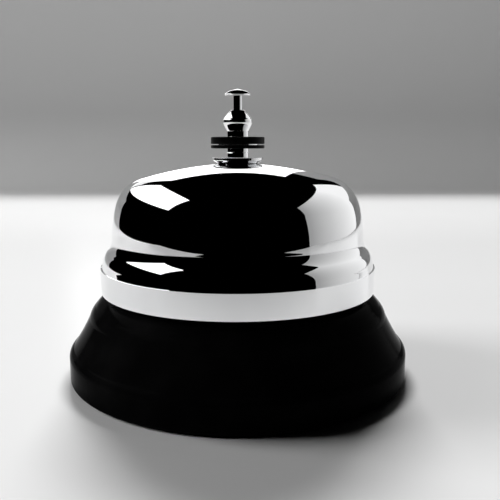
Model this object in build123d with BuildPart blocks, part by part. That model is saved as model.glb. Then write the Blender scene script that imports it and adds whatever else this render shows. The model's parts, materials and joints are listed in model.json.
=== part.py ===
from build123d import *
import os

# A counter service bell, in millimetres, standing on Z = 0 with its axis on Z. A chromed gong hangs on a
# hollow post over a black cast base. Pressing the button drives the plunger rod down through the post onto
# the short arm of a striker lever, whose hammer swings up along +X to the inside of the gong's shoulder.

# ---- driving dimensions -------------------------------------------------------------------------------
# base casting, its cover plate and its pad
base_r = 42.6            # the vertical band around the foot
base_rim_z = 0.4         # the casting stands clear of the counter, on its pad
band_top_z = 6.0
flare_r, flare_z = 41.5, 8.0
flare_mid_r, flare_mid_z = 38.95, 12.0
waist_r, waist_z = 37.2, 16.0
shoulder_mid_r, shoulder_mid_z = 35.45, 18.4
deck_r, deck_z = 33.0, 20.3
base_wall = 2.0
boss_r, boss_circle_r, boss_count = 3.2, 28.0, 3
boss_start_angle = 60.0
pad_t = 1.2
plate_t = 1.6
plate_gap = 0.2          # between the cover plate and the casting around it
plate_screw_r = 1.25
plate_screw_top_z = 9.0
boss_hole_top_z = 10.0   # the blind hole runs past the screw's end
plate_head_r = 2.5
plate_hole_r = 1.45
plate_sink_r = 2.6
slot_w, slot_depth = 0.7, 0.5    # driver slot of every slotted screw
pad_inset = 0.2
thread_gap = 0.05        # radial room between a screw and the hole that its thread sits in

# gong
gong_t = 1.2
gong_rim_r, gong_rim_z = 34.4, 21.3
gong_band_z = 27.35      # top of the vertical band
bead_r, bead_z = 34.1, 27.4
swell_r, swell_z = 33.85, 28.7
hollow_r, hollow_z = 32.55, 31.55
hollow_lean = -0.87      # run over rise where the swell turns into the hollow
neck_r, neck_z = 31.48, 34.4
wall_r, wall_z = 30.31, 42.37
wall_lean = -0.0175      # run over rise of the barrelled wall at the neck
crown_r, crown_z = 23.55, 49.33
crown_mid_r, crown_mid_z = 15.0, 51.37
crown_slope = -0.28      # rise over run of the crown where the shoulder begins
rim_round = 0.3
seat_r, seat_z = 4.9, 52.6

# post, which carries the gong and guides the plunger
foot_thread_r = 3.0
lock_washer_t = 0.6
post_nut_h = 2.1
post_nut_r = 4.6
bush_top_z = 32.4
post_r = 3.5
post_hex = 9.0
post_hex_h = 2.5
stud_r, stud_top_z = 2.0, 64.0
chamber_r, chamber_top_z = 2.2, 48.6
rod_bore_r = 1.3
stud_chamfer = 0.3
hex_chamfer = 0.3
seat_washer_t = 1.2
seat_washer_r = 4.7

# hardware stacked on the stud above the gong, by the height of each joint face
dish_r, dish_top_z = 6.4, 54.05
dish_rim_low_z = 53.45
dish_edge = 0.1
collar_r = 2.77
collar_groove_z, collar_groove_w = 55.25, 0.1
lock_disc_z, lock_disc_t = 56.3, 0.85
disc_r = 6.68
disc_edge = 0.12         # chamfer on the rims of the lock disc and the thumb nut
thumb_washer_r, thumb_washer_t = 5.2, 0.2
thumb_top_z = 59.1
guide_collar_top_z = 60.5
guide_cone_low_r = 2.65
guide_waist_r, guide_waist_low_z, guide_waist_high_z = 3.68, 62.5, 62.95
guide_shoulder_r, guide_shoulder_z = 3.42, 63.5
guide_thread_top_z = 64.3
guide_dome_lean = -0.55  # run over rise where the nut's dome begins
guide_top_r, guide_top_z = 1.5, 65.6
stud_hole_r = stud_r + thread_gap

# plunger
rod_r = 1.1
rod_fit = 0.06           # radial running clearance in the bush and the guide nut
rod_tip_z, rod_tip_h = 26.25, 0.5
press_gap = 0.01         # radial room in a press or clip fit
button_r = 3.2
button_low_z, button_top_z = 69.1, 70.7
button_tip_r, button_tip_z = 0.3, 70.66
button_crown_r, button_crown_z = 1.6, 70.33
button_brim_r, button_brim_z = 3.1, 69.5
button_skin = 0.4
button_lip = 0.1         # how far the brim's edge turns in below
clip_r = 2.0
clip_t = 1.0
clip_gap = 0.2
spring_wire_r = 0.22
spring_coil_r = 1.65
spring_turns = 11

# bracket on the deck
sheet_t = 1.2
bridge_z = 29.6          # underside of the bridge
bridge_x = 7.0           # half length of the bridge along X
leg_y = 4.6              # inner face of each leg
foot_end_y = 14.0
ear_r = 3.1
ear_drop = 3.0           # the ear begins this far under the bridge, clear of the bend
bend_r, foot_bend_r = 1.5, 0.8
foot_corner_r = 1.5
bracket_screw_x, bracket_screw_y = 4.4, 10.0
bracket_screw_r = 1.25
bracket_hole_r = 1.35
bracket_screw_low_z = 14.8
bracket_head_r, bracket_head_top_r = 2.3, 1.4
bracket_head_side_h, bracket_head_h = 0.8, 1.4
bracket_washer_r, bracket_washer_t = 2.6, 0.4
bracket_nut_r, bracket_nut_h = 2.75, 2.0

# striker
pivot_x, pivot_z = 11.0, 23.9
pin_r = 1.0
pin_fit = 0.05           # radial running clearance of the lever on its pin
lever_t = 1.0
lever_half_w = 3.0
lever_top_z = 26.1
lever_arm_top_z = 23.0   # the long arm runs lower than the short one
lever_back_x, lever_front_x = -3.0, 31.6
bend_start_x, bend_end_x = 15.1, 21.1
lug_outer_y = 4.3
lug_x = 2.2              # half width of each lug, and the radius of its round end
lever_front_round, lever_back_round = 2.9, 1.5
hammer_x, hammer_r = 28.95, 3.0
hammer_side_top_z, hammer_top_z = 26.4, 27.4
rivet_r = 0.9
rivet_head_r, rivet_head_h = 1.9, 0.6
rivet_top_z, rivet_hole_top_z = 25.4, 25.6
pin_head_r, pin_head_h = 1.8, 0.7
pin_tail = 0.9
pin_clip_t, pin_clip_mouth = 0.5, 0.9
stop_x, stop_r, stop_top_z = 23.8, 2.2, 21.7
stop_chamfer = 0.3

os.makedirs("parts", exist_ok=True)


# ---- helpers ------------------------------------------------------------------------------------------
def turned(*points):
    """Revolve a closed outline of (radius, height) points about the axis, into the open part."""
    with BuildSketch(Plane.XZ) as outline:
        with BuildLine():
            Polyline(*points, close=True)
        make_face()
    revolve(outline.sketch, axis=Axis.Z)


def ring(outer_r, inner_r, low_z, high_z):
    """A plain ring about the axis, added to the open part."""
    turned((inner_r, low_z), (outer_r, low_z), (outer_r, high_z), (inner_r, high_z))


def save(part, label):
    """Label a finished piece and write it."""
    part.label = label
    export_step(part, "parts/" + label + ".step")


# ---- base ---------------------------------------------------------------------------------------------
plate_low_z = pad_t
plate_high_z = pad_t + plate_t

# Cast base: a vertical band, a hollow flare up to a waist, and a rounded shoulder under the gong.
with BuildPart() as base_shell:
    with BuildSketch(Plane.XZ):
        with BuildLine():
            Line((0, base_rim_z), (base_r, base_rim_z))
            Line((base_r, base_rim_z), (base_r, band_top_z))
            TangentArc((base_r, band_top_z), (flare_r, flare_z), tangent=(0, 1))
            ThreePointArc((flare_r, flare_z), (flare_mid_r, flare_mid_z), (waist_r, waist_z))
            ThreePointArc((waist_r, waist_z), (shoulder_mid_r, shoulder_mid_z), (deck_r, deck_z))
            Line((deck_r, deck_z), (0, deck_z))
            Line((0, deck_z), (0, base_rim_z))
        make_face()
    revolve(axis=Axis.Z)
    offset(amount=-base_wall, openings=base_shell.faces().sort_by(Axis.Z)[0])
    with BuildSketch(Plane.XY.offset(plate_high_z)):
        with PolarLocations(boss_circle_r, boss_count, start_angle=boss_start_angle):
            Circle(boss_r)
    extrude(amount=deck_z - base_wall / 2 - plate_high_z)
    with BuildSketch(Plane.XY.offset(plate_high_z)):
        with PolarLocations(boss_circle_r, boss_count, start_angle=boss_start_angle):
            Circle(plate_screw_r + thread_gap)
    extrude(amount=boss_hole_top_z - plate_high_z, mode=Mode.SUBTRACT)
    with BuildSketch(Plane.XY.offset(deck_z)):
        with GridLocations(2 * bracket_screw_x, 2 * bracket_screw_y, 2, 2):
            Circle(bracket_hole_r)
    extrude(amount=-2 * base_wall, mode=Mode.SUBTRACT)
save(base_shell.part, "base_shell")

# Steel cover plate that closes the base and gives it weight.
plate_r = base_r - base_wall - plate_gap
plate_underside = Plane(origin=(0, 0, plate_low_z), x_dir=(1, 0, 0), z_dir=(0, 0, -1))
with BuildPart() as bottom_plate:
    with BuildSketch(Plane.XY.offset(plate_low_z)):
        Circle(plate_r)
    extrude(amount=plate_t)
    with Locations(plate_underside):
        with PolarLocations(boss_circle_r, boss_count, start_angle=boss_start_angle):
            CounterSinkHole(radius=plate_hole_r, counter_sink_radius=plate_sink_r)
save(bottom_plate.part, "bottom_plate")

# Countersunk screws that hold the plate to the three bosses, their heads flush with its underside.
with BuildPart() as plate_screw:
    turned(
        (0, plate_low_z),
        (plate_head_r, plate_low_z),
        (plate_screw_r, plate_low_z + plate_head_r - plate_screw_r),
        (plate_screw_r, plate_screw_top_z),
        (0, plate_screw_top_z),
    )
    with BuildSketch(Plane.XY.offset(plate_low_z)):
        Rectangle(2 * plate_head_r, slot_w)
    extrude(amount=slot_depth, mode=Mode.SUBTRACT)
with BuildPart() as plate_screws:
    with PolarLocations(boss_circle_r, boss_count, start_angle=boss_start_angle):
        add(plate_screw.part)
save(plate_screws.part, "plate_screws")

# Rubber pad over the screw heads: the face that the bell stands on.
with BuildPart() as base_pad:
    with BuildSketch(Plane.XY):
        Circle(plate_r - pad_inset)
    extrude(amount=pad_t)
    chamfer(base_pad.edges(), length=pad_inset)
save(base_pad.part, "base_pad")

# ---- bracket ------------------------------------------------------------------------------------------
bridge_top_z = bridge_z + sheet_t
leg_outer_y = leg_y + sheet_t
foot_top_z = deck_z + sheet_t

# Bent strap: a bridge that carries the post, two legs with ears for the pivot pin, and two screwed feet.
with BuildPart() as mechanism_bracket:
    with BuildSketch(Plane.XY.offset(bridge_z)):
        Rectangle(2 * bridge_x, 2 * leg_outer_y)
    extrude(amount=sheet_t)
    with BuildSketch(Plane.XZ.offset(leg_y)):
        with BuildLine():
            Polyline(
                (-bridge_x, deck_z),
                (bridge_x, deck_z),
                (bridge_x, pivot_z - ear_r),
                (pivot_x, pivot_z - ear_r),
                (pivot_x + ear_r * 0.6, pivot_z + ear_r * 0.8),
                (bridge_x, bridge_top_z - ear_drop),
                (bridge_x, bridge_top_z),
                (-bridge_x, bridge_top_z),
                close=True,
            )
        make_face()
        with Locations((pivot_x, pivot_z)):
            Circle(ear_r)
            Circle(pin_r + press_gap, mode=Mode.SUBTRACT)
    extrude(amount=sheet_t)
    with BuildSketch(Plane.XY.offset(deck_z)):
        with Locations((0, -(leg_y + foot_end_y) / 2)):
            RectangleRounded(2 * bridge_x, foot_end_y - leg_y, foot_corner_r)
    extrude(amount=sheet_t)
    with BuildSketch(Plane.XY.offset(deck_z)):
        with Locations((0, -(leg_y + leg_outer_y) / 2)):
            Rectangle(2 * bridge_x, sheet_t)
    extrude(amount=sheet_t)
    mirror(about=Plane.XZ)
    with BuildSketch(Plane.XY.offset(deck_z)):
        with GridLocations(2 * bracket_screw_x, 2 * bracket_screw_y, 2, 2):
            Circle(bracket_hole_r)
    extrude(amount=sheet_t, mode=Mode.SUBTRACT)
    with BuildSketch(Plane.XY.offset(bridge_z)):
        Circle(foot_thread_r + thread_gap)
    extrude(amount=sheet_t, mode=Mode.SUBTRACT)
    along_x = mechanism_bracket.edges().filter_by(Axis.X)
    bridge_bends = along_x.filter_by_position(Axis.Z, bridge_top_z - 0.01, bridge_top_z + 0.01)
    fillet(bridge_bends.filter_by(lambda edge: abs(edge.center().Y) > leg_y), radius=bend_r)
    along_x = mechanism_bracket.edges().filter_by(Axis.X)
    foot_bends = along_x.filter_by_position(Axis.Z, foot_top_z - 0.01, foot_top_z + 0.01)
    fillet(foot_bends.filter_by(lambda edge: abs(edge.center().Y) < leg_outer_y + 0.01), radius=foot_bend_r)
save(mechanism_bracket.part, "mechanism_bracket")

# Pan-head screws through the feet and the deck, with washers and nuts under the deck.
under_deck_z = deck_z - base_wall
with BuildPart() as bracket_screw:
    turned(
        (0, bracket_screw_low_z),
        (bracket_screw_r, bracket_screw_low_z),
        (bracket_screw_r, foot_top_z),
        (bracket_head_r, foot_top_z),
        (bracket_head_r, foot_top_z + bracket_head_side_h),
        (bracket_head_top_r, foot_top_z + bracket_head_h),
        (0, foot_top_z + bracket_head_h),
    )
    with BuildSketch(Plane.XY.offset(foot_top_z + bracket_head_h)):
        Rectangle(2 * bracket_head_r, slot_w)
    extrude(amount=-slot_depth, mode=Mode.SUBTRACT)
with BuildPart() as bracket_screws:
    with GridLocations(2 * bracket_screw_x, 2 * bracket_screw_y, 2, 2):
        add(bracket_screw.part)
save(bracket_screws.part, "bracket_screws")

with BuildPart() as bracket_washers:
    with BuildSketch(Plane.XY.offset(under_deck_z)):
        with GridLocations(2 * bracket_screw_x, 2 * bracket_screw_y, 2, 2):
            Circle(bracket_washer_r)
            Circle(bracket_hole_r, mode=Mode.SUBTRACT)
    extrude(amount=-bracket_washer_t)
save(bracket_washers.part, "bracket_washers")

with BuildPart() as bracket_nuts:
    with BuildSketch(Plane.XY.offset(under_deck_z - bracket_washer_t)):
        with GridLocations(2 * bracket_screw_x, 2 * bracket_screw_y, 2, 2):
            RegularPolygon(radius=bracket_nut_r, side_count=6)
            Circle(bracket_screw_r + thread_gap, mode=Mode.SUBTRACT)
    extrude(amount=-bracket_nut_h)
save(bracket_nuts.part, "bracket_nuts")

# ---- post ---------------------------------------------------------------------------------------------
post_seat_z = seat_z - gong_t - seat_washer_t
hex_top_z = bridge_top_z + post_hex_h
nut_high_z = bridge_z - lock_washer_t
post_low_z = nut_high_z - post_nut_h

# Hollow post: a threaded foot through the bridge, a hexagon, the spring chamber, and the stud above the
# shoulder that the gong hangs on.
with BuildPart() as center_post:
    turned(
        (0, post_low_z),
        (foot_thread_r, post_low_z),
        (foot_thread_r, bridge_top_z),
        (post_r, bridge_top_z),
        (post_r, post_seat_z),
        (stud_r, post_seat_z),
        (stud_r, stud_top_z - stud_chamfer),
        (stud_r - stud_chamfer, stud_top_z),
        (0, stud_top_z),
    )
    with BuildSketch(Plane.XY.offset(bridge_top_z)):
        RegularPolygon(radius=post_hex / 2, side_count=6, major_radius=False)
    extrude(amount=post_hex_h)
    chamfer(center_post.edges().filter_by(Axis.Z).group_by(SortBy.LENGTH)[0], length=hex_chamfer)
    with BuildSketch(Plane.XY.offset(post_low_z)):
        Circle(chamber_r)
    extrude(amount=chamber_top_z - post_low_z, mode=Mode.SUBTRACT)
    with BuildSketch(Plane.XY.offset(chamber_top_z)):
        Circle(rod_bore_r)
    extrude(amount=stud_top_z - chamber_top_z, mode=Mode.SUBTRACT)
save(center_post.part, "center_post")

with BuildPart() as post_lock_washer:
    ring(post_nut_r, foot_thread_r + thread_gap, nut_high_z, bridge_z)
save(post_lock_washer.part, "post_lock_washer")

with BuildPart() as post_nut:
    with BuildSketch(Plane.XY.offset(post_low_z)):
        RegularPolygon(radius=post_hex / 2, side_count=6, major_radius=False)
        Circle(foot_thread_r + thread_gap, mode=Mode.SUBTRACT)
    extrude(amount=post_nut_h)
save(post_nut.part, "post_nut")

# Bronze bush pressed up into the foot: it guides the plunger and is the fixed seat of the spring.
with BuildPart() as guide_bush:
    ring(chamber_r - press_gap, rod_r + rod_fit, post_low_z, bush_top_z)
save(guide_bush.part, "guide_bush")

# ---- gong and the hardware that holds it --------------------------------------------------------------
# Spun gong of even thickness. Its section is the outside's outline, run on past the rim and the axis, less
# the same outline set in by the thickness, and trimmed to the rim and the stud hole.
with BuildPart() as gong:
    with BuildSketch(Plane.XZ):
        with BuildLine():
            Line((-2 * gong_t, gong_rim_z - 2 * gong_t), (gong_rim_r, gong_rim_z - 2 * gong_t))
            Line((gong_rim_r, gong_rim_z - 2 * gong_t), (gong_rim_r, gong_band_z))
            Line((gong_rim_r, gong_band_z), (bead_r, bead_z))
            Line((bead_r, bead_z), (swell_r, swell_z))
            TangentArc((hollow_r, hollow_z), (swell_r, swell_z), tangent=(-hollow_lean, -1))
            TangentArc((neck_r, neck_z), (hollow_r, hollow_z), tangent=(0, -1))
            TangentArc((neck_r, neck_z), (wall_r, wall_z), tangent=(wall_lean, 1))
            TangentArc((crown_r, crown_z), (wall_r, wall_z), tangent=(1, crown_slope))
            ThreePointArc((crown_r, crown_z), (crown_mid_r, crown_mid_z), (seat_r, seat_z))
            Line((seat_r, seat_z), (-2 * gong_t, seat_z))
            Line((-2 * gong_t, seat_z), (-2 * gong_t, gong_rim_z - 2 * gong_t))
        make_face()
        offset(amount=-gong_t, mode=Mode.SUBTRACT)
        with Locations((stud_hole_r, gong_rim_z)):
            Rectangle(gong_rim_r, seat_z, align=(Align.MIN, Align.MIN), mode=Mode.INTERSECT)
    revolve(axis=Axis.Z)
    rim_edges = gong.edges().filter_by(GeomType.CIRCLE).filter_by_position(Axis.Z, 0, gong_rim_z + 0.01)
    fillet(rim_edges, radius=rim_round)
save(gong.part, "gong")

# Fibre washer that keeps the gong off the post's shoulder, so that it rings.
with BuildPart() as gong_seat_washer:
    ring(seat_washer_r, stud_hole_r, post_seat_z, post_seat_z + seat_washer_t)
save(gong_seat_washer.part, "gong_seat_washer")

# Chrome washer that clamps the gong: flat above, dished below down to the gong's seat.
with BuildPart() as dish_washer:
    turned(
        (stud_hole_r, seat_z),
        (seat_r, seat_z),
        (dish_r - dish_edge, dish_rim_low_z - dish_edge),
        (dish_r, dish_rim_low_z),
        (dish_r, dish_top_z),
        (stud_hole_r, dish_top_z),
    )
save(dish_washer.part, "dish_washer")

# Chrome collar with a fine groove turned in it, which holds the discs clear of the washer.
with BuildPart() as spacer_collar:
    ring(collar_r, stud_hole_r, dish_top_z, lock_disc_z)
    with BuildSketch(Plane.XZ) as groove:
        with BuildLine():
            Polyline(
                (collar_r, collar_groove_z - collar_groove_w),
                (collar_r - collar_groove_w, collar_groove_z),
                (collar_r, collar_groove_z + collar_groove_w),
                close=True,
            )
        make_face()
    revolve(groove.sketch, axis=Axis.Z, mode=Mode.SUBTRACT)
save(spacer_collar.part, "spacer_collar")

# Black disc that locks the thumb nut, its rim barely chamfered.
with BuildPart() as lock_disc:
    ring(disc_r, stud_hole_r, lock_disc_z, lock_disc_z + lock_disc_t)
    chamfer(lock_disc.edges().filter_by(GeomType.CIRCLE).group_by(SortBy.LENGTH)[-1], length=disc_edge)
save(lock_disc.part, "lock_disc")

# Thin steel washer between the lock disc and the thumb nut.
thumb_washer_z = lock_disc_z + lock_disc_t
with BuildPart() as thumb_washer:
    ring(thumb_washer_r, stud_hole_r, thumb_washer_z, thumb_washer_z + thumb_washer_t)
save(thumb_washer.part, "thumb_washer")

# Black thumb nut with chamfered rims.
thumb_low_z = thumb_washer_z + thumb_washer_t
with BuildPart() as thumb_nut:
    turned(
        (stud_hole_r, thumb_low_z),
        (disc_r - disc_edge, thumb_low_z),
        (disc_r, thumb_low_z + disc_edge),
        (disc_r, thumb_top_z - disc_edge),
        (disc_r - disc_edge, thumb_top_z),
        (stud_hole_r, thumb_top_z),
    )
save(thumb_nut.part, "thumb_nut")

# Double-cone nut on the stud's end: the upper guide of the plunger.
with BuildPart() as guide_nut:
    with BuildSketch(Plane.XZ):
        with BuildLine():
            Line((rod_r + rod_fit, guide_top_z), (rod_r + rod_fit, guide_thread_top_z))
            Line((rod_r + rod_fit, guide_thread_top_z), (stud_hole_r, guide_thread_top_z))
            Line((stud_hole_r, guide_thread_top_z), (stud_hole_r, thumb_top_z))
            Line((stud_hole_r, thumb_top_z), (collar_r, thumb_top_z))
            Line((collar_r, thumb_top_z), (collar_r, guide_collar_top_z))
            Line((collar_r, guide_collar_top_z), (guide_cone_low_r, guide_collar_top_z))
            Line((guide_cone_low_r, guide_collar_top_z), (guide_waist_r, guide_waist_low_z))
            Line((guide_waist_r, guide_waist_low_z), (guide_waist_r, guide_waist_high_z))
            TangentArc(
                (guide_waist_r, guide_waist_high_z), (guide_shoulder_r, guide_shoulder_z), tangent=(0, 1)
            )
            TangentArc(
                (guide_shoulder_r, guide_shoulder_z), (guide_top_r, guide_top_z), tangent=(guide_dome_lean, 1)
            )
            Line((guide_top_r, guide_top_z), (rod_r + rod_fit, guide_top_z))
        make_face()
    revolve(axis=Axis.Z)
save(guide_nut.part, "guide_nut")

# ---- plunger ------------------------------------------------------------------------------------------
rod_top_z = button_top_z - button_skin
with BuildPart() as plunger_rod:
    with BuildSketch(Plane.XZ):
        with BuildLine():
            Line((0, rod_tip_z), (0, rod_top_z))
            Line((0, rod_top_z), (rod_r, rod_top_z))
            Line((rod_r, rod_top_z), (rod_r, rod_tip_z + rod_tip_h))
            TangentArc((0, rod_tip_z), (rod_r, rod_tip_z + rod_tip_h), tangent=(1, 0))
        make_face()
    revolve(axis=Axis.Z)
save(plunger_rod.part, "plunger_rod")

# Mushroom button: a low cone with a rounded tip, curving down to a brim, bored below for the rod.
hub_bore_r = rod_r + 2 * press_gap
with BuildPart() as plunger_button:
    with BuildSketch(Plane.XZ):
        with BuildLine():
            TangentArc((0, button_top_z), (button_tip_r, button_tip_z), tangent=(1, 0))
            Line((button_tip_r, button_tip_z), (button_crown_r, button_crown_z))
            crown_step = (button_crown_r - button_tip_r, button_crown_z - button_tip_z)
            TangentArc((button_crown_r, button_crown_z), (button_brim_r, button_brim_z), tangent=crown_step)
            ThreePointArc(
                (button_brim_r, button_brim_z),
                (button_r, (button_brim_z + button_low_z) / 2),
                (button_brim_r - button_lip, button_low_z),
            )
            Line((button_brim_r - button_lip, button_low_z), (hub_bore_r, button_low_z))
            Line((hub_bore_r, button_low_z), (hub_bore_r, rod_top_z))
            Line((hub_bore_r, rod_top_z), (0, rod_top_z))
            Line((0, rod_top_z), (0, button_top_z))
        make_face()
    revolve(axis=Axis.Z)
save(plunger_button.part, "plunger_button")

# Retaining ring on the rod: it takes the spring's push and stops the plunger at the chamber's end.
clip_top_z = chamber_top_z - clip_gap
clip_low_z = clip_top_z - clip_t
with BuildPart() as plunger_ring:
    ring(clip_r, rod_r + press_gap, clip_low_z, clip_top_z)
save(plunger_ring.part, "plunger_ring")

# Compression spring between the bush and the retaining ring.
coil_low_z = bush_top_z + spring_wire_r + press_gap
coil_high_z = clip_low_z - spring_wire_r - press_gap
coil_h = coil_high_z - coil_low_z
with BuildPart() as return_spring:
    with BuildLine() as coil:
        Helix(pitch=coil_h / spring_turns, height=coil_h, radius=spring_coil_r, center=(0, 0, coil_low_z))
    with BuildSketch(Plane(origin=coil.line @ 0, z_dir=coil.line % 0)):
        Circle(spring_wire_r)
    sweep(path=coil.line, is_frenet=True)
save(return_spring.part, "return_spring")

# ---- striker ------------------------------------------------------------------------------------------
lever_low_z = lever_top_z - lever_t
arm_low_z = lever_arm_top_z - lever_t
with BuildPart() as striker_lever:
    with BuildSketch(Plane.XZ.offset(-lever_half_w)):
        with BuildLine():
            Polyline(
                (lever_back_x, lever_low_z),
                (lever_back_x, lever_top_z),
                (bend_start_x, lever_top_z),
                (bend_end_x, lever_arm_top_z),
                (lever_front_x, lever_arm_top_z),
                (lever_front_x, arm_low_z),
                (bend_end_x - lever_t / 4, arm_low_z),
                (bend_start_x - lever_t / 4, lever_low_z),
                close=True,
            )
        make_face()
    extrude(amount=2 * lever_half_w)
    fillet(striker_lever.edges().filter_by(Axis.Z).group_by(Axis.X)[-1], radius=lever_front_round)
    fillet(striker_lever.edges().filter_by(Axis.Z).group_by(Axis.X)[0], radius=lever_back_round)
    with BuildSketch(Plane.XY.offset(lever_low_z)):
        with Locations((pivot_x, 0)):
            Rectangle(2 * lug_x, 2 * lug_outer_y)
    extrude(amount=lever_t)
    with BuildSketch(Plane.XZ.offset(lug_outer_y - lever_t)):
        with Locations((pivot_x, (pivot_z + lever_top_z) / 2)):
            Rectangle(2 * lug_x, lever_top_z - pivot_z)
        with Locations((pivot_x, pivot_z)):
            Circle(lug_x)
    extrude(amount=lever_t)
    mirror(about=Plane.XZ)
    with BuildSketch(Plane.XZ.offset(-lug_outer_y)):
        with Locations((pivot_x, pivot_z)):
            Circle(pin_r + pin_fit)
    extrude(amount=2 * lug_outer_y, mode=Mode.SUBTRACT)
    with BuildSketch(Plane.XY.offset(arm_low_z)):
        with Locations((hammer_x, 0)):
            Circle(rivet_r + thread_gap)
    extrude(amount=lever_t, mode=Mode.SUBTRACT)
save(striker_lever.part, "striker_lever")

# Turned hammer standing on the lever's far end, with a blind hole for its rivet.
hammer_axis = Plane.XZ.shift_origin((hammer_x, 0, 0))
with BuildPart() as striker_hammer:
    with BuildSketch(hammer_axis):
        with BuildLine():
            Line((0, rivet_hole_top_z), (rivet_r + thread_gap, rivet_hole_top_z))
            Line((rivet_r + thread_gap, rivet_hole_top_z), (rivet_r + thread_gap, lever_arm_top_z))
            Line((rivet_r + thread_gap, lever_arm_top_z), (hammer_r, lever_arm_top_z))
            Line((hammer_r, lever_arm_top_z), (hammer_r, hammer_side_top_z))
            TangentArc((0, hammer_top_z), (hammer_r, hammer_side_top_z), tangent=(1, 0))
            Line((0, hammer_top_z), (0, rivet_hole_top_z))
        make_face()
    revolve(axis=Axis((hammer_x, 0, 0), (0, 0, 1)))
save(striker_hammer.part, "striker_hammer")

with BuildPart() as hammer_rivet:
    with BuildSketch(hammer_axis):
        with BuildLine():
            Line((0, rivet_top_z), (rivet_r, rivet_top_z))
            Line((rivet_r, rivet_top_z), (rivet_r, arm_low_z))
            Line((rivet_r, arm_low_z), (rivet_head_r, arm_low_z))
            TangentArc((0, arm_low_z - rivet_head_h), (rivet_head_r, arm_low_z), tangent=(1, 0))
            Line((0, arm_low_z - rivet_head_h), (0, rivet_top_z))
        make_face()
    revolve(axis=Axis((hammer_x, 0, 0), (0, 0, 1)))
save(hammer_rivet.part, "hammer_rivet")

# Pivot pin through the bracket's ears, headed at -Y and clipped at +Y.
with BuildPart() as pivot_pin:
    with BuildSketch(Plane.XZ.offset(leg_outer_y)):
        with Locations((pivot_x, pivot_z)):
            Circle(pin_head_r)
    extrude(amount=pin_head_h)
    with BuildSketch(Plane.XZ.offset(leg_outer_y)):
        with Locations((pivot_x, pivot_z)):
            Circle(pin_r)
    extrude(amount=-(2 * leg_outer_y + pin_tail))
save(pivot_pin.part, "pivot_pin")

with BuildPart() as pivot_clip:
    with BuildSketch(Plane.XZ.offset(-leg_outer_y)):
        with Locations((pivot_x, pivot_z)):
            Circle(pin_head_r)
            Circle(pin_r + press_gap, mode=Mode.SUBTRACT)
            with Locations((-pin_head_r, 0)):
                Rectangle(2 * pin_head_r, pin_clip_mouth, mode=Mode.SUBTRACT)
    extrude(amount=-pin_clip_t)
save(pivot_clip.part, "pivot_clip")

# Rubber stop on the deck that the resting arm settles on.
with BuildPart() as striker_stop:
    with BuildSketch(Plane.XY.offset(deck_z)):
        with Locations((stop_x, 0)):
            Circle(stop_r)
    extrude(amount=stop_top_z - deck_z)
    chamfer(striker_stop.faces().sort_by(Axis.Z)[-1].edges(), length=stop_chamfer)
save(striker_stop.part, "striker_stop")
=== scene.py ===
import json
import math

import bmesh
import bpy
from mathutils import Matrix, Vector


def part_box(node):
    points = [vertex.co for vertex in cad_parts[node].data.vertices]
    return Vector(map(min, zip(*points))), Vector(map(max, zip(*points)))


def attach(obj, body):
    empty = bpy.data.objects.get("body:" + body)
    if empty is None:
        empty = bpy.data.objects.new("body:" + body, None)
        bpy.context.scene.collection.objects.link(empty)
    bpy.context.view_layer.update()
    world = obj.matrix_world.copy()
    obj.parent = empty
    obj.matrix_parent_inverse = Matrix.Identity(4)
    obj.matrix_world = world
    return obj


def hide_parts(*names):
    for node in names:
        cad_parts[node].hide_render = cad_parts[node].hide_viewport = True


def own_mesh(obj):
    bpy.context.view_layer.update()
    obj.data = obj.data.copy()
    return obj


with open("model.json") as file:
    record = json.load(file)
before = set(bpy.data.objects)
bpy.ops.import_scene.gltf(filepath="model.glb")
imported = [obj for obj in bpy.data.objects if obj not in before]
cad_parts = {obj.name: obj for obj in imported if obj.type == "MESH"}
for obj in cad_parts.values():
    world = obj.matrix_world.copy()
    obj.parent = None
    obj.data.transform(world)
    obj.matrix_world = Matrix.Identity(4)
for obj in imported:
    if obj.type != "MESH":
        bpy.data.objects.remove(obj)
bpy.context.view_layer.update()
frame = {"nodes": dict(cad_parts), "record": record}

# A counter service bell on a pale table, standing on Z = 0 with its axis on Z. The turned pieces that show
# are spun here from smooth outlines over their CAD nodes; the rest are the CAD nodes themselves. Outlines are
# in millimetres, and everything else is in metres.
MM = 0.001
STUD_HOLE_R = 2.05
ROD_BORE_R = 1.16
SEAT_R = 4.9  # of the flat on the crown that the dished washer stands on


def linked(name, data):
    """A new object with this data, in the scene."""
    thing = bpy.data.objects.new(name, data)
    bpy.context.scene.collection.objects.link(thing)
    return thing


# ---- outlines -----------------------------------------------------------------------------------------
def straight(outline, end, steps=6):
    """Run the outline, a list of (radius, height) in mm, straight on to end."""
    start = outline[-1]
    for i in range(1, steps + 1):
        t = i / steps
        outline.append((start[0] + (end[0] - start[0]) * t, start[1] + (end[1] - start[1]) * t))


def bend(outline, end, tangent, steps=16):
    """Run the outline on to end along the circular arc that leaves in the direction of tangent."""
    start = Vector(outline[-1])
    along = Vector(tangent).normalized()
    chord = Vector(end) - start
    side = Vector((-along.y, along.x))
    radius = chord.length_squared / (2 * chord.dot(side))
    turn = 2 * math.atan2(chord.dot(side), chord.dot(along))
    centre = start + side * radius
    spoke = start - centre
    for i in range(1, steps + 1):
        angle = turn * i / steps
        outline.append(
            (
                centre.x + spoke.x * math.cos(angle) - spoke.y * math.sin(angle),
                centre.y + spoke.x * math.sin(angle) + spoke.y * math.cos(angle),
            )
        )


def eased(corners, radius):
    """An outline through corners, with each corner but the first and last rounded to about radius."""
    share = 0.45  # the most of a side that one corner may take
    outline = [corners[0]]
    for before, corner, after in zip(corners, corners[1:], corners[2:]):
        into = Vector(corner) - Vector(before)
        out = Vector(after) - Vector(corner)
        trim = min(radius, into.length * share, out.length * share)
        straight(outline, tuple(Vector(corner) - into.normalized() * trim), 3)
        bend(outline, tuple(Vector(corner) + out.normalized() * trim), tuple(into), 6)
    straight(outline, corners[-1], 3)
    return outline


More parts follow.
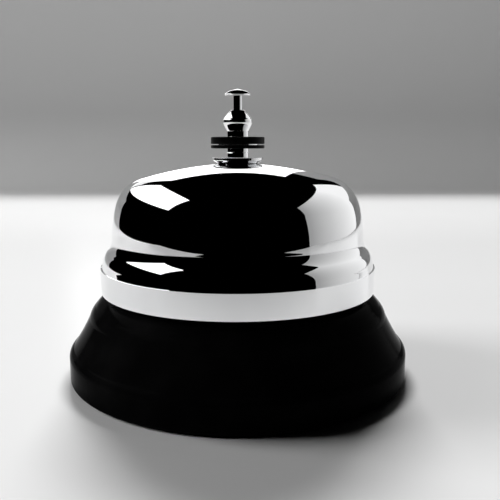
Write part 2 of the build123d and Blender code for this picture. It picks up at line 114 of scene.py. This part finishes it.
def inset(outline, depth):
    """The outline moved to its left by depth, without the loops that tight corners leave."""
    clear = depth * 0.98  # a point nearer the outline than this is on a loop
    moved = []
    for before, point, after in zip(outline, outline[1:], outline[2:]):
        along = (Vector(after) - Vector(before)).normalized()
        moved.append(Vector(point) + Vector((-along.y, along.x)) * depth)
    return [tuple(p) for p in moved if min((p - Vector(q)).length for q in outline) > clear]


def spin(name, outline, axis_xy=(0.0, 0.0), steps=128):
    """Spin a closed outline about a vertical axis into a smooth solid. Points on the axis close it there."""
    mesh = bpy.data.meshes.new(name)
    shape = bmesh.new()
    rings = []
    for radius, height in outline:
        count = 1 if radius < 1e-6 else steps
        ring = []
        for step in range(count):
            angle = 2 * math.pi * step / steps
            x = axis_xy[0] + radius * math.cos(angle)
            y = axis_xy[1] + radius * math.sin(angle)
            ring.append(shape.verts.new((x * MM, y * MM, height * MM)))
        rings.append(ring)
    for low, high in zip(rings, rings[1:] + rings[:1]):
        if len(low) == 1 and len(high) == 1:
            continue
        for step in range(steps):
            following = (step + 1) % steps
            corners = [low[step % len(low)], low[following % len(low)]]
            corners += [high[following % len(high)], high[step % len(high)]]
            shape.faces.new(list(dict.fromkeys(corners)))
    bmesh.ops.recalc_face_normals(shape, faces=shape.faces)
    shape.to_mesh(mesh)
    shape.free()
    mesh.shade_smooth()
    mesh.set_sharp_from_angle(angle=math.radians(35))
    return linked(name, mesh)


def place(piece, body, slot, material, *nodes):
    """Finish a piece: its material, its body and the CAD nodes that it stands for. The slot argument is not
    used.
    """
    piece.data.materials.append(material)
    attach(piece, body)
    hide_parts(*nodes)


# ---- materials ----------------------------------------------------------------------------------------
class Nodes:
    """A short way to write a material's node tree."""

    def __init__(self, name):
        self.material = bpy.data.materials.new(name)
        self.material.use_nodes = True
        self.tree = self.material.node_tree
        self.shader = self.tree.nodes["Principled BSDF"]

    def set(self, **values):
        """Set sockets of the shader by name, with _ for each space."""
        for name, value in values.items():
            self.shader.inputs[name.replace("_", " ")].default_value = value

    def add(self, kind, **links):
        """Add a node and set or link its inputs, named in0, in1 or by socket name."""
        node = self.tree.nodes.new(kind)
        for name, value in links.items():
            if name.startswith("in") and name[2:].isdigit():
                socket = node.inputs[int(name[2:])]
            else:
                socket = node.inputs[name.replace("_", " ")]
            if isinstance(value, bpy.types.NodeSocket):
                self.tree.links.new(value, socket)
            else:
                socket.default_value = value
        return node

    def maths(self, operation, first, second=0.0):
        """The result of a Math node on two values or sockets."""
        node = self.add("ShaderNodeMath", in0=first, in1=second)
        node.operation = operation
        return node.outputs[0]

    def place(self):
        """The surface point, in metres, in the bell's own frame."""
        return self.add("ShaderNodeTexCoord").outputs["Object"]

    def turned(self, around, across):
        """A noise stretched round the bell's axis, like the marks of turning or polishing on a wheel:
        around is how many patches go round, across how many lines there are to a metre."""
        parts = self.add("ShaderNodeSeparateXYZ", in0=self.place())
        x, y, z = parts.outputs
        squares = self.maths("ADD", self.maths("MULTIPLY", x, x), self.maths("MULTIPLY", y, y))
        radius = self.maths("SQRT", squares)
        safe = self.maths("MAXIMUM", radius, 1e-5)
        turn = 6.28  # in radians
        ring = self.add(
            "ShaderNodeCombineXYZ",
            in0=self.maths("MULTIPLY", self.maths("DIVIDE", x, safe), around / turn),
            in1=self.maths("MULTIPLY", self.maths("DIVIDE", y, safe), around / turn),
            in2=self.maths("MULTIPLY", z, across),
        )
        noise = self.add("ShaderNodeTexNoise")
        noise.noise_dimensions = "4D"
        self.tree.links.new(ring.outputs[0], noise.inputs["Vector"])
        self.tree.links.new(self.maths("MULTIPLY", radius, across), noise.inputs["W"])
        noise.inputs["Scale"].default_value = 1.0
        noise.inputs["Detail"].default_value = 4.0
        return noise.outputs[0]

    def noise(self, scale, detail=3.0):
        """A plain noise: scale is how many patches there are to a metre."""
        node = self.add("ShaderNodeTexNoise", Vector=self.place(), Scale=scale, Detail=detail)
        return node.outputs[0]

    def ramp(self, value, low, high, out_low, out_high):
        """Map value from low..high to out_low..out_high, clamped."""
        node = self.add("ShaderNodeMapRange", in0=value, in1=low, in2=high, in3=out_low, in4=out_high)
        return node.outputs[0]

    def mix(self, share, first, second):
        """Blend two colours by share."""
        node = self.add("ShaderNodeMix")
        node.data_type = "RGBA"
        self.tree.links.new(share, node.inputs[0])
        for socket, colour in ((node.inputs[6], first), (node.inputs[7], second)):
            socket.default_value = (*colour, 1)
        return node.outputs[2]

    def link(self, value, socket):
        """Feed a socket of the shader."""
        self.tree.links.new(value, self.shader.inputs[socket])

    def bump(self, height, strength, distance):
        """Feed the shader's normal from a height, distance in metres."""
        node = self.add("ShaderNodeBump", Height=height, Strength=strength, Distance=distance)
        self.link(node.outputs[0], "Normal")


def chrome_plate(name, dulling=0.0):
    """Mirror plate: nearly no roughness, faint wheel marks and a few soft hazy patches."""
    m = Nodes(name)
    m.set(Metallic=1.0)
    haze = m.ramp(m.noise(90.0, 5.0), 0.52, 0.72, 0.0, 0.045)
    marks = m.ramp(m.turned(5.0, 9000.0), 0.55, 0.8, 0.012 + dulling, 0.05 + dulling)
    m.link(m.maths("ADD", haze, marks), "Roughness")
    cloud = m.ramp(m.noise(60.0), 0.35, 0.7, 0.0, 1.0)
    m.link(m.mix(cloud, (0.90, 0.905, 0.91), (0.84, 0.845, 0.855)), "Base Color")
    m.bump(m.turned(3.0, 3500.0), 0.02, 0.00002)
    return m.material


def black_enamel(name):
    """Stoved black enamel, very dark: a faint orange peel, fine dust and a little handling wear."""
    m = Nodes(name)
    m.set(IOR=1.03)
    dust = m.ramp(m.noise(2600.0, 2.0), 0.66, 0.8, 0.0, 0.10)
    rub = m.ramp(m.noise(45.0, 6.0), 0.5, 0.75, 0.10, 0.18)
    m.link(m.maths("ADD", dust, rub), "Roughness")
    patches = m.ramp(m.noise(120.0, 5.0), 0.4, 0.75, 0.0, 1.0)
    m.link(m.mix(patches, (0.0022, 0.0022, 0.0023), (0.0045, 0.0045, 0.0046)), "Base Color")
    m.bump(m.noise(420.0, 2.0), 0.05, 0.00012)
    return m.material


def satin_black(name):
    """Black moulded nut, satin, with fine turning lines."""
    m = Nodes(name)
    m.set(IOR=1.12)
    m.link(m.ramp(m.turned(6.0, 6000.0), 0.3, 0.7, 0.26, 0.40), "Roughness")
    patches = m.ramp(m.noise(700.0, 4.0), 0.4, 0.7, 0.0, 1.0)
    m.link(m.mix(patches, (0.0015, 0.0015, 0.0015), (0.004, 0.004, 0.004)), "Base Color")
    m.bump(m.turned(6.0, 9000.0), 0.12, 0.00003)
    return m.material


def plated_steel(name, tone, rough=0.3):
    """Plated steel: a cloudy tone and a fine grain."""
    m = Nodes(name)
    m.set(Metallic=1.0)
    light = tuple(min(1.0, c * 1.12) for c in tone)
    dark = tuple(c * 0.78 for c in tone)
    m.link(m.mix(m.ramp(m.noise(260.0, 5.0), 0.35, 0.7, 0.0, 1.0), light, dark), "Base Color")
    m.link(m.ramp(m.noise(900.0, 4.0), 0.3, 0.7, rough * 0.7, rough * 1.4), "Roughness")
    m.bump(m.noise(2200.0, 3.0), 0.15, 0.00004)
    return m.material


def pad_rubber(name):
    """Matte rubber with a cloth-pressed grain."""
    m = Nodes(name)
    m.set(Specular_IOR_Level=0.25)
    m.link(m.ramp(m.noise(500.0, 4.0), 0.3, 0.7, 0.75, 0.95), "Roughness")
    patches = m.ramp(m.noise(150.0, 4.0), 0.35, 0.7, 0.0, 1.0)
    m.link(m.mix(patches, (0.02, 0.02, 0.02), (0.04, 0.039, 0.037)), "Base Color")
    m.bump(m.noise(2600.0, 4.0), 0.5, 0.0001)
    return m.material


def red_fibre(name):
    """Vulcanised fibre, matt, a mottled brick red."""
    m = Nodes(name)
    m.link(m.ramp(m.noise(1500.0, 4.0), 0.3, 0.7, 0.6, 0.85), "Roughness")
    mottle = m.ramp(m.noise(800.0, 5.0), 0.35, 0.7, 0.0, 1.0)
    m.link(m.mix(mottle, (0.30, 0.07, 0.04), (0.18, 0.04, 0.03)), "Base Color")
    m.bump(m.noise(3000.0, 3.0), 0.3, 0.00005)
    return m.material


CHROME = chrome_plate("chrome_plate")
ENAMEL = black_enamel("black_enamel")
SATIN = satin_black("black_plastic")
BRIGHT = chrome_plate("bright_steel", dulling=0.04)
ZINC = plated_steel("zinc_steel", (0.60, 0.61, 0.62))
SPRING = plated_steel("spring_steel", (0.36, 0.36, 0.37), 0.25)
BRONZE = plated_steel("bronze", (0.62, 0.42, 0.20), 0.28)
RUBBER = pad_rubber("pad_rubber")
FIBRE = red_fibre("fibre")
BY_SLOT = {
    "chrome_plate": CHROME,
    "black_enamel": ENAMEL,
    "black_plastic": SATIN,
    "bright_steel": BRIGHT,
    "zinc_steel": ZINC,
    "spring_steel": SPRING,
    "bronze": BRONZE,
    "pad_rubber": RUBBER,
    "fibre": FIBRE,
}


def finish_cad_nodes():
    """Give every CAD node the material of its slot."""
    for part in frame["record"]["subparts"]:
        mesh = frame["nodes"][part["node"]].data
        mesh.materials.clear()
        mesh.materials.append(BY_SLOT[part["material_slot"]])


# ---- turned pieces that show --------------------------------------------------------------------------
def top_of(node):
    """The height of a CAD node's top, in mm."""
    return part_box(node)[1].z / MM


def foot_of(node):
    """The height of a CAD node's foot, in mm."""
    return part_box(node)[0].z / MM


def radius_of(node):
    """A turned CAD node's outer radius, in mm."""
    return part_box(node)[1].x / MM


def make_gong():
    """The gong, of even thickness: band, bead, swell, hollow, barrelled wall, shoulder and crown."""
    wall, rim_round = 1.2, 0.3
    band_top_z = 27.35
    bead, swell, hollow, neck = (34.1, 27.4), (33.85, 28.7), (32.55, 31.55), (31.48, 34.4)
    wall_top, shoulder = (30.31, 42.37), (23.55, 49.33)
    swell_lean, hollow_lean, wall_lean, shoulder_lean = -0.14, -0.87, -0.0175, -0.26  # run over rise
    crown_rise = 0.28
    rim_r, rim_z, seat_z = radius_of("gong"), foot_of("gong"), top_of("gong")
    outline = [(rim_r, rim_z + rim_round)]
    straight(outline, (rim_r, band_top_z), 12)
    straight(outline, bead, 2)
    straight(outline, swell, 4)
    bend(outline, hollow, (swell_lean, 1), 24)
    bend(outline, neck, (hollow_lean, 1), 24)
    bend(outline, wall_top, (wall_lean, 1), 32)
    bend(outline, shoulder, (shoulder_lean, 1), 44)
    bend(outline, (SEAT_R, seat_z), (-1, crown_rise), 44)
    straight(outline, (STUD_HOLE_R, seat_z), 6)
    inside = [p for p in inset(outline, wall) if p[0] > STUD_HOLE_R]
    outline.append((STUD_HOLE_R, seat_z - wall))
    outline += reversed(inside)
    bend(outline, (rim_r - wall + rim_round, rim_z), (0, -1), 8)
    straight(outline, (rim_r - rim_round, rim_z), 3)
    bend(outline, (rim_r, rim_z + rim_round), (1, 0), 8)
    place(spin("gong_shell", outline[:-1], steps=240), "bell", "chrome_plate", CHROME, "gong")


def make_base():
    """The cast base: band, flare, waist, shoulder and deck, and a boss for each screw of the bottom plate."""
    wall, outer_round, inner_round, core_r = 2.0, 0.5, 0.3, 0.5
    band_top_z = 6.0
    flare, waist, shoulder, deck_r = (41.5, 8.0), (37.45, 15.2), (35.9, 17.9), 33.0
    band_r, rim_z, deck_z = radius_of("base_shell"), foot_of("base_shell"), top_of("base_shell")
    outline = [(band_r, rim_z + outer_round)]
    straight(outline, (band_r, band_top_z), 10)
    bend(outline, flare, (0, 1), 16)
    bend(outline, waist, (-0.9, 1.35), 30)
    bend(outline, shoulder, (-0.25, 1), 16)
    bend(outline, (deck_r, deck_z), (-0.75, 1), 20)
    straight(outline, (0.0, deck_z), 20)
    inside = [p for p in inset(outline, wall) if p[0] > core_r]
    outline.append((0.0, deck_z - wall))
    outline += reversed(inside)
    bend(outline, (band_r - wall + inner_round, rim_z), (0, -1), 6)
    straight(outline, (band_r - outer_round, rim_z), 3)
    bend(outline, (band_r, rim_z + outer_round), (1, 0), 8)
    base = spin("base_casting", outline[:-1], steps=256)
    place(base, "bell", "black_enamel", ENAMEL, "base_shell")

    boss_r, screw_r, circle_r, bosses, first_angle = 3.2, 1.3, 28.0, 3, math.radians(60)
    low_z, high_z = top_of("bottom_plate"), deck_z - wall
    corners = [(screw_r, low_z), (boss_r, low_z), (boss_r, high_z), (screw_r, high_z)]
    for i in range(bosses):
        angle = first_angle + 2 * math.pi * i / bosses
        centre = (circle_r * math.cos(angle), circle_r * math.sin(angle))
        boss = spin("base_boss_%d" % (i + 1), eased(corners, 0.1), centre, 64)
        place(boss, "bell", "black_enamel", ENAMEL, "base_shell")


def disc(node):
    """The outline of a plain disc on the stud, with chamfered rims, that stands for a CAD node."""
    chamfer, low_z, high_z, disc_r = 0.12, foot_of(node), top_of(node), radius_of(node)
    corners = [(STUD_HOLE_R, low_z), (disc_r - chamfer, low_z), (disc_r, low_z + chamfer)]
    corners += [(disc_r, high_z - chamfer), (disc_r - chamfer, high_z), (STUD_HOLE_R, high_z)]
    return eased(corners, 0.06)


def make_stack():
    """The turned pieces on the stud above the gong, from the dished washer up to the guide nut."""
    hole, seat_z = STUD_HOLE_R, top_of("gong")
    collar_z, lock_z = foot_of("spacer_collar"), foot_of("lock_disc")

    dish_r, dish_rim_z, lip = radius_of("dish_washer"), 53.45, 0.1
    corners = [(hole, seat_z), (SEAT_R, seat_z), (dish_r - lip, dish_rim_z - lip), (dish_r, dish_rim_z)]
    corners += [(dish_r, collar_z), (hole, collar_z)]
    place(spin("dished_washer", eased(corners, 0.1)), "bell", "chrome_plate", CHROME, "dish_washer")

    collar_r, groove_z, groove = radius_of("spacer_collar"), 55.25, 0.1
    corners = [(hole, collar_z), (collar_r, collar_z), (collar_r, groove_z - groove)]
    corners += [(collar_r - groove, groove_z), (collar_r, groove_z + groove)]
    corners += [(collar_r, lock_z), (hole, lock_z)]
    place(spin("stud_collar", eased(corners, 0.05)), "bell", "chrome_plate", CHROME, "spacer_collar")

    place(spin("lock_plate", disc("lock_disc")), "bell", "black_plastic", SATIN, "lock_disc")
    place(spin("thumb_wheel", disc("thumb_nut")), "bell", "black_plastic", SATIN, "thumb_nut")

    foot_z, foot_r, cone_z, cone_r = top_of("thumb_nut"), 2.77, 60.5, 2.65
    waist_r, waist_low_z, waist_high_z = radius_of("guide_nut"), 62.5, 62.95
    shoulder, dome_r, dome_lean = (3.42, 63.5), 1.5, -0.55
    nut_top_z, thread_z, bore = top_of("guide_nut"), 64.3, ROD_BORE_R
    corners = [(hole, foot_z), (foot_r, foot_z), (foot_r, cone_z), (cone_r, cone_z), (waist_r, waist_low_z)]
    outline = eased(corners, 0.04)
    straight(outline, (waist_r, waist_high_z), 3)
    bend(outline, shoulder, (0, 1), 10)
    bend(outline, (dome_r, nut_top_z), (dome_lean, 1), 16)
    outline += eased([outline[-1], (bore, nut_top_z), (bore, thread_z), (hole, thread_z)], 0.08)[1:]
    place(spin("cone_nut", outline), "bell", "chrome_plate", CHROME, "guide_nut")


def make_plunger():
    """The rod and the mushroom button that it carries."""
    tip_z, rod_top_z, rod_r = foot_of("plunger_rod"), top_of("plunger_rod"), radius_of("plunger_rod")
    tip_round = 0.5
    outline = [(0.0, tip_z)]
    bend(outline, (rod_r, tip_z + tip_round), (1, 0), 10)
    outline += eased([outline[-1], (rod_r, rod_top_z), (0.0, rod_top_z)], 0.05)[1:]
    place(spin("press_rod", outline, steps=96), "plunger", "bright_steel", BRIGHT, "plunger_rod")

    low_z, crown_z, bore = foot_of("plunger_button"), top_of("plunger_button"), rod_r + 0.02
    under_r, brim, dome, peak = 3.0, (3.1, low_z + 0.4), (1.6, crown_z - 0.37), (0.3, crown_z - 0.04)
    outline = [(0.0, rod_top_z), (bore, rod_top_z), (bore, low_z)]
    straight(outline, (under_r, low_z), 6)
    bend(outline, brim, (1, 0.08), 14)
    bend(outline, dome, (-0.72, 0.69), 24)
    straight(outline, peak, 5)
    bend(outline, (0.0, crown_z), (-1, 0.25), 6)
    place(spin("press_button", outline, steps=96), "plunger", "chrome_plate", CHROME, "plunger_button")


def make_spring():
    """The return spring: a round wire coiled up the chamber, with its end turns closed up flat."""
    wire_r, coil_r, turns, round_steps, wire_steps = 0.22, 1.65, 11.0, 40, 12
    low_z, high_z = foot_of("return_spring") + wire_r, top_of("return_spring") - wire_r
    mesh = bpy.data.meshes.new("coil_spring")
    shape = bmesh.new()
    count = int(turns * round_steps)
    rings = []
    for i in range(count + 1):
        turn = i / round_steps
        rise = min(max((turn - 1.0) / (turns - 2.0), 0.0), 1.0)
        closed = min(turn, 1.0) + max(turn - turns + 1.0, 0.0)
        height = low_z + 2 * wire_r * closed + (high_z - low_z - 4 * wire_r) * rise
        around = Vector((math.cos(2 * math.pi * turn), math.sin(2 * math.pi * turn), 0.0))
        ring = []
        for j in range(wire_steps):
            angle = 2 * math.pi * j / wire_steps
            point = around * (coil_r + wire_r * math.cos(angle))
            point.z = height + wire_r * math.sin(angle)
            ring.append(shape.verts.new(point * MM))
        rings.append(ring)
    for low, high in zip(rings, rings[1:]):
        for j in range(wire_steps):
            following = (j + 1) % wire_steps
            shape.faces.new((low[j], low[following], high[following], high[j]))
    shape.faces.new(rings[0])
    shape.faces.new(rings[-1])
    bmesh.ops.recalc_face_normals(shape, faces=shape.faces)
    shape.to_mesh(mesh)
    shape.free()
    mesh.shade_smooth()
    mesh.set_sharp_from_angle(angle=math.radians(50))
    spring = linked("coil_spring", mesh)
    place(spring, "bell", "spring_steel", SPRING, "return_spring")
    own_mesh(spring)


finish_cad_nodes()
make_gong()
make_base()
make_stack()
make_plunger()
make_spring()


# ---- stage --------------------------------------------------------------------------------------------
def sheet(name, runs, left, right, material, mirrored=True):
    """A backdrop sheet: a run of (y, z) points in metres, from left to right in X."""
    mesh = bpy.data.meshes.new(name)
    verts = []
    for y, z in runs:
        verts += [(left, y, z), (right, y, z)]
    faces = [(2 * i, 2 * i + 1, 2 * i + 3, 2 * i + 2) for i in range(len(runs) - 1)]
    mesh.from_pydata(verts, [], faces)
    mesh.shade_smooth()
    mesh.materials.append(material)
    stage = linked(name, mesh)
    stage.visible_glossy = mirrored


def stage_paint():
    """Pale satin table, passing softly into the grey wall behind it, with a painted shade that darkens the
    table towards its front edge.
    """
    front_y, matt_y, wall_y = -0.14, 0.2, 0.66
    # front is a painted shade: the table's tone drops from 0.77 to 0.60 towards the camera.
    front, table, wall = (0.60, 0.60, 0.60, 1), (0.77, 0.77, 0.77, 1), (0.42, 0.42, 0.42, 1)
    m = Nodes("table_and_wall")
    depth = m.add("ShaderNodeSeparateXYZ", in0=m.place()).outputs[1]
    tone = m.add("ShaderNodeValToRGB", in0=m.ramp(depth, front_y, wall_y, 0.0, 1.0))
    stops = tone.color_ramp.elements
    stops[0].color, stops[1].color = front, wall
    stops.new(0.09).color = table
    stops.new(0.30).color = table
    m.link(tone.outputs[0], "Base Color")
    grain = m.ramp(m.noise(3.0, 2.0), 0.3, 0.7, 0.0, 0.05)
    m.link(m.maths("ADD", grain, m.ramp(depth, matt_y, wall_y, 0.28, 0.7)), "Roughness")
    return m.material


def make_stage():
    """A table top that runs back to a low grey wall through a soft cove. The chrome doesn't mirror the front
    of it, nor a bay between two wings there, as if the table's front edge were cut back."""
    near, wing_near, edge, far, cove, high, half = -1.6, -0.30, -0.165, 0.74, 0.10, 0.30, 0.80
    bay_left, bay_right, cove_steps = -0.157, 0.232, 16
    paint = stage_paint()
    run = [(edge, 0.0), (far - cove, 0.0)]
    for i in range(1, cove_steps + 1):
        angle = math.pi / 2 * i / cove_steps
        run.append((far - cove + cove * math.sin(angle), cove - cove * math.cos(angle)))
    run.append((far, high))
    sheet("backdrop", run, -half, half, paint)
    wing = [(wing_near, 0.0), (edge, 0.0)]
    sheet("table_wing_left", wing, -half, bay_left, paint)
    sheet("table_wing_right", wing, bay_right, half, paint)
    sheet("table_bay", wing, bay_left, bay_right, paint, mirrored=False)
    sheet("table_front", [(near, 0.0), (wing_near, 0.0)], -half, half, paint, mirrored=False)


def panel(name, centre, aim, width, height, radiance, mirrored=True):
    """A soft rectangular light, as bright as a plain panel of that radiance. One that isn't mirrored lights
    the scene without showing in the chrome."""
    data = bpy.data.lights.new(name, "AREA")
    data.shape = "RECTANGLE"
    data.size, data.size_y = width, height
    data.energy = radiance * math.pi * width * height
    lamp = linked(name, data)
    lamp.location = centre
    lamp.rotation_euler = (Vector(aim) - Vector(centre)).to_track_quat("-Z", "Y").to_euler()
    lamp.visible_camera = False
    lamp.visible_glossy = mirrored
    lamp.visible_diffuse = not mirrored


def unmirror_stack():
    """Keep what stands above the dished washer out of mirror rays, so that it doesn't break the band of light
    on the crown."""
    turned = ("stud_collar", "lock_plate", "thumb_wheel", "cone_nut", "press_rod", "press_button")
    for name in turned:
        bpy.data.objects[name].visible_glossy = False
    for node in ("center_post", "guide_bush", "thumb_washer"):
        frame["nodes"][node].visible_glossy = False


def make_right_wall():
    """A glowing sheet to the right, standing in for a pale lit wall, that only the chrome mirrors: painted
    light, brighter towards its far end, which turns in behind the back wall."""
    dim_y, bright_y, foot_z = -0.45, 0.62, -0.05
    m = Nodes("lit_wall")
    depth = m.add("ShaderNodeSeparateXYZ", in0=m.place()).outputs[1]
    m.set(Emission_Strength=1.0, Roughness=1.0, Specular_IOR_Level=0.0, Base_Color=(0.0, 0.0, 0.0, 1))
    tone = m.ramp(depth, dim_y, bright_y, 0.0, 1.0)
    # Painted light: the sheet glows, dim at its near end and full white at its far end.
    m.link(m.mix(tone, (0.34, 0.34, 0.34), (1.0, 1.0, 1.0)), "Emission Color")
    mesh = bpy.data.meshes.new("right_wall")
    plan = [(0.98, -0.50, 0.86), (0.86, 0.24, 0.97), (0.78, 0.74, 1.06), (0.46, 0.86, 0.80)]
    verts = [(x, y, foot_z) for x, y, top in plan] + [(x, y, top) for x, y, top in plan]
    mesh.from_pydata(verts, [], [(i, i + 1, i + 5, i + 4) for i in range(3)])
    mesh.materials.append(m.material)
    wall = linked("right_wall", mesh)
    wall.visible_camera = False
    wall.visible_diffuse = False


def make_lights():
    """A long window to the left and two strips before the back wall, which only show in the chrome; three
    panels that light the table and the wall; and a grey surround that only the camera sees."""
    world = bpy.data.worlds.new("surround")
    world.use_nodes = True
    tree = world.node_tree
    background = tree.nodes["Background"]
    background.inputs[0].default_value = (0.33, 0.33, 0.33, 1)
    direct = tree.nodes.new("ShaderNodeLightPath").outputs["Is Camera Ray"]
    tree.links.new(direct, background.inputs[1])
    bpy.context.scene.world = world
    panel("window_left", (-0.72, 0.515, 0.82), (0, 0.515, 0.82), 1.57, 0.73, 1.8)
    panel("strip_back", (-0.05, 0.58, 0.226), (-0.05, 0, 0.226), 0.30, 0.206, 1.8)
    panel("strip_end", (-0.255, 0.58, 0.272), (-0.255, 0, 0.272), 0.11, 0.114, 1.0)
    panel("light_back", (0, 2.0, 2.1), (0, 0, 0), 1.1, 0.6, 47.0, mirrored=False)
    panel("light_left", (-1.6, 0.3, 0.75), (0, 0, 0), 0.9, 0.7, 13.5, mirrored=False)
    panel("wall_wash", (0.20, 0.28, 0.50), (0.20, 0.74, 0.22), 1.2, 0.2, 2.4, mirrored=False)


def make_camera():
    """The photograph's view: close, a little above the crown, looking slightly down."""
    data = bpy.data.cameras.new("camera")
    data.lens, data.sensor_width = 45.3, 36.0
    data.clip_start, data.clip_end = 0.005, 20.0
    camera = linked("camera", data)
    camera.location = (0.0, -0.1588, 0.0574)
    pitch_down, turn_right = math.radians(9.57), math.radians(1.10)
    camera.rotation_euler = (math.pi / 2 - pitch_down, 0.0, -turn_right)
    bpy.context.scene.camera = camera


make_stage()
unmirror_stack()
make_right_wall()
make_lights()
make_camera()
bpy.context.scene.view_settings.view_transform = "Standard"

bpy.context.view_layer.update()
